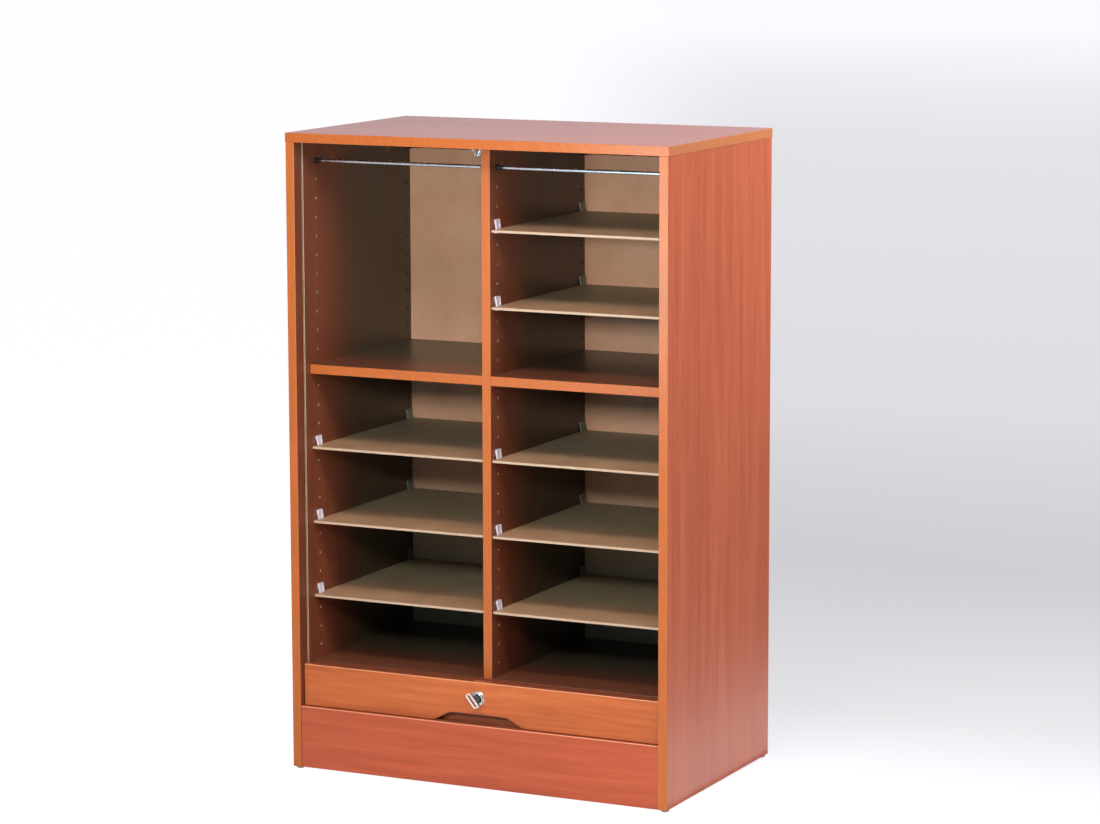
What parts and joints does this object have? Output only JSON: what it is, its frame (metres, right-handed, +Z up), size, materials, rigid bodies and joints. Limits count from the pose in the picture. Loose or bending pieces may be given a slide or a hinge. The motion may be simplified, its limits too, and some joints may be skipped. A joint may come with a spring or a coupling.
{
  "type": "tambour door cabinet",
  "caption": "Low wooden office cabinet with a roll-up slatted front, a lock in its lead rail, bays of adjustable trays and fixed shelves, and rods for hanging files.",
  "frame": {"origin": "on the floor, midway between the left and right ends and midway between the key's outer end and the back edge", "axes": "+X to the right as seen from the front, +Y to the back, +Z up"},
  "size_m": [0.702, 0.4466, 1.088],
  "materials": {
    "cherry_board": "cherry melamine, satin",
    "cherry_rail": "cherry melamine, satin, grain across",
    "cherry_slat": "cherry foil, satin",
    "tray_board": "tan hardboard, matt, pale front edge",
    "back_board": "tan hardboard, matt",
    "beech": "bare beech",
    "clip_plastic": "translucent white",
    "chrome": "bright",
    "zinc_steel": "zinc plated",
    "black_plastic": "black, satin",
    "grey_plastic": "grey, matt",
    "liner_plastic": "light beige, satin",
    "canvas": "woven canvas backing"
  },
  "bodies": {
    "carcass": {"top_panel": "cherry_board", "left_side_panel": "cherry_board", "right_side_panel": "cherry_board", "floor_panel": "cherry_board", "plinth": "cherry_board", "centre_divider": "cherry_board", "fixed_shelf_left": "cherry_board", "fixed_shelf_right": "cherry_board", "inner_back_panel": "back_board", "outer_back_panel": "back_board", "tray_left_1": "tray_board", "tray_left_2": "tray_board", "tray_left_3": "tray_board", "tray_right_1": "tray_board", "tray_right_2": "tray_board", "tray_right_3": "tray_board", "tray_right_4": "tray_board", "tray_right_5": "tray_board", "shelf_clips_left": "clip_plastic", "shelf_clips_right": "clip_plastic", "file_rods_left": "chrome", "file_rods_right": "chrome", "rod_sockets": "black_plastic", "glide_feet": "grey_plastic", "strike_plate": "zinc_steel", "strike_loop": "chrome", "strike_screws": "zinc_steel", "track_liner_left": "liner_plastic", "track_liner_right": "liner_plastic", "wood_dowels": "beech", "cam_housings": "zinc_steel", "cam_bolts": "zinc_steel", "back_screws": "zinc_steel"},
    "lead_rail": {"lead_rail": "cherry_rail", "rail_guides": "black_plastic", "guide_screws": "zinc_steel", "lock_case": "zinc_steel", "lock_case_screws": "zinc_steel", "lock_rosette": "chrome", "curtain_slats_1": "cherry_slat", "curtain_canvas_1": "canvas"},
    "lock_plug": {"lock_plug": "chrome", "lock_hook": "zinc_steel"},
    "key": {"key": "chrome"},
    "leaf_2": {"curtain_slats_2": "cherry_slat", "curtain_canvas_2": "canvas"},
    "leaf_3": {"curtain_slats_3": "cherry_slat", "curtain_canvas_3": "canvas"},
    "leaf_4": {"curtain_slats_4": "cherry_slat", "curtain_canvas_4": "canvas"},
    "leaf_5": {"curtain_slats_5": "cherry_slat", "curtain_canvas_5": "canvas"},
    "leaf_6": {"curtain_slats_6": "cherry_slat", "curtain_canvas_6": "canvas"}
  },
  "joints": [
    {"name": "rail_slide", "type": "slide", "parent": "carcass", "child": "lead_rail", "axis": [0, 0, 1], "range_m": [0, 0.8885]},
    {"name": "leaf_2_slide", "type": "slide", "parent": "carcass", "child": "leaf_2", "axis": [0, 0, 1], "range_m": [0, 0.72851]},
    {"name": "leaf_3_slide", "type": "slide", "parent": "carcass", "child": "leaf_3", "axis": [0, 0, 1], "range_m": [0, 0.56851]},
    {"name": "leaf_4_slide", "type": "slide", "parent": "carcass", "child": "leaf_4", "axis": [0, 0, 1], "range_m": [0, 0.40851]},
    {"name": "leaf_5_slide", "type": "slide", "parent": "carcass", "child": "leaf_5", "axis": [0, 0, 1], "range_m": [0, 0.24851]},
    {"name": "leaf_6_slide", "type": "slide", "parent": "carcass", "child": "leaf_6", "axis": [0, 0, 1], "range_m": [0, 0.08851]},
    {"name": "lock_turn", "type": "hinge", "parent": "lead_rail", "child": "lock_plug", "pos_m": [0, -0.19475, 0.1545], "axis": [0, 1, 0], "range_deg": [0, 90]},
    {"name": "key_slide", "type": "slide", "parent": "lock_plug", "child": "key", "axis": [0, -1, 0], "range_m": [0, 0.03]}
  ],
  "couplings": [
    {"joint": "leaf_2_slide", "follows": "rail_slide", "ratio": 0.81992},
    {"joint": "leaf_3_slide", "follows": "rail_slide", "ratio": 0.63984},
    {"joint": "leaf_4_slide", "follows": "rail_slide", "ratio": 0.45976},
    {"joint": "leaf_5_slide", "follows": "rail_slide", "ratio": 0.27969},
    {"joint": "leaf_6_slide", "follows": "rail_slide", "ratio": 0.099606}
  ]
}
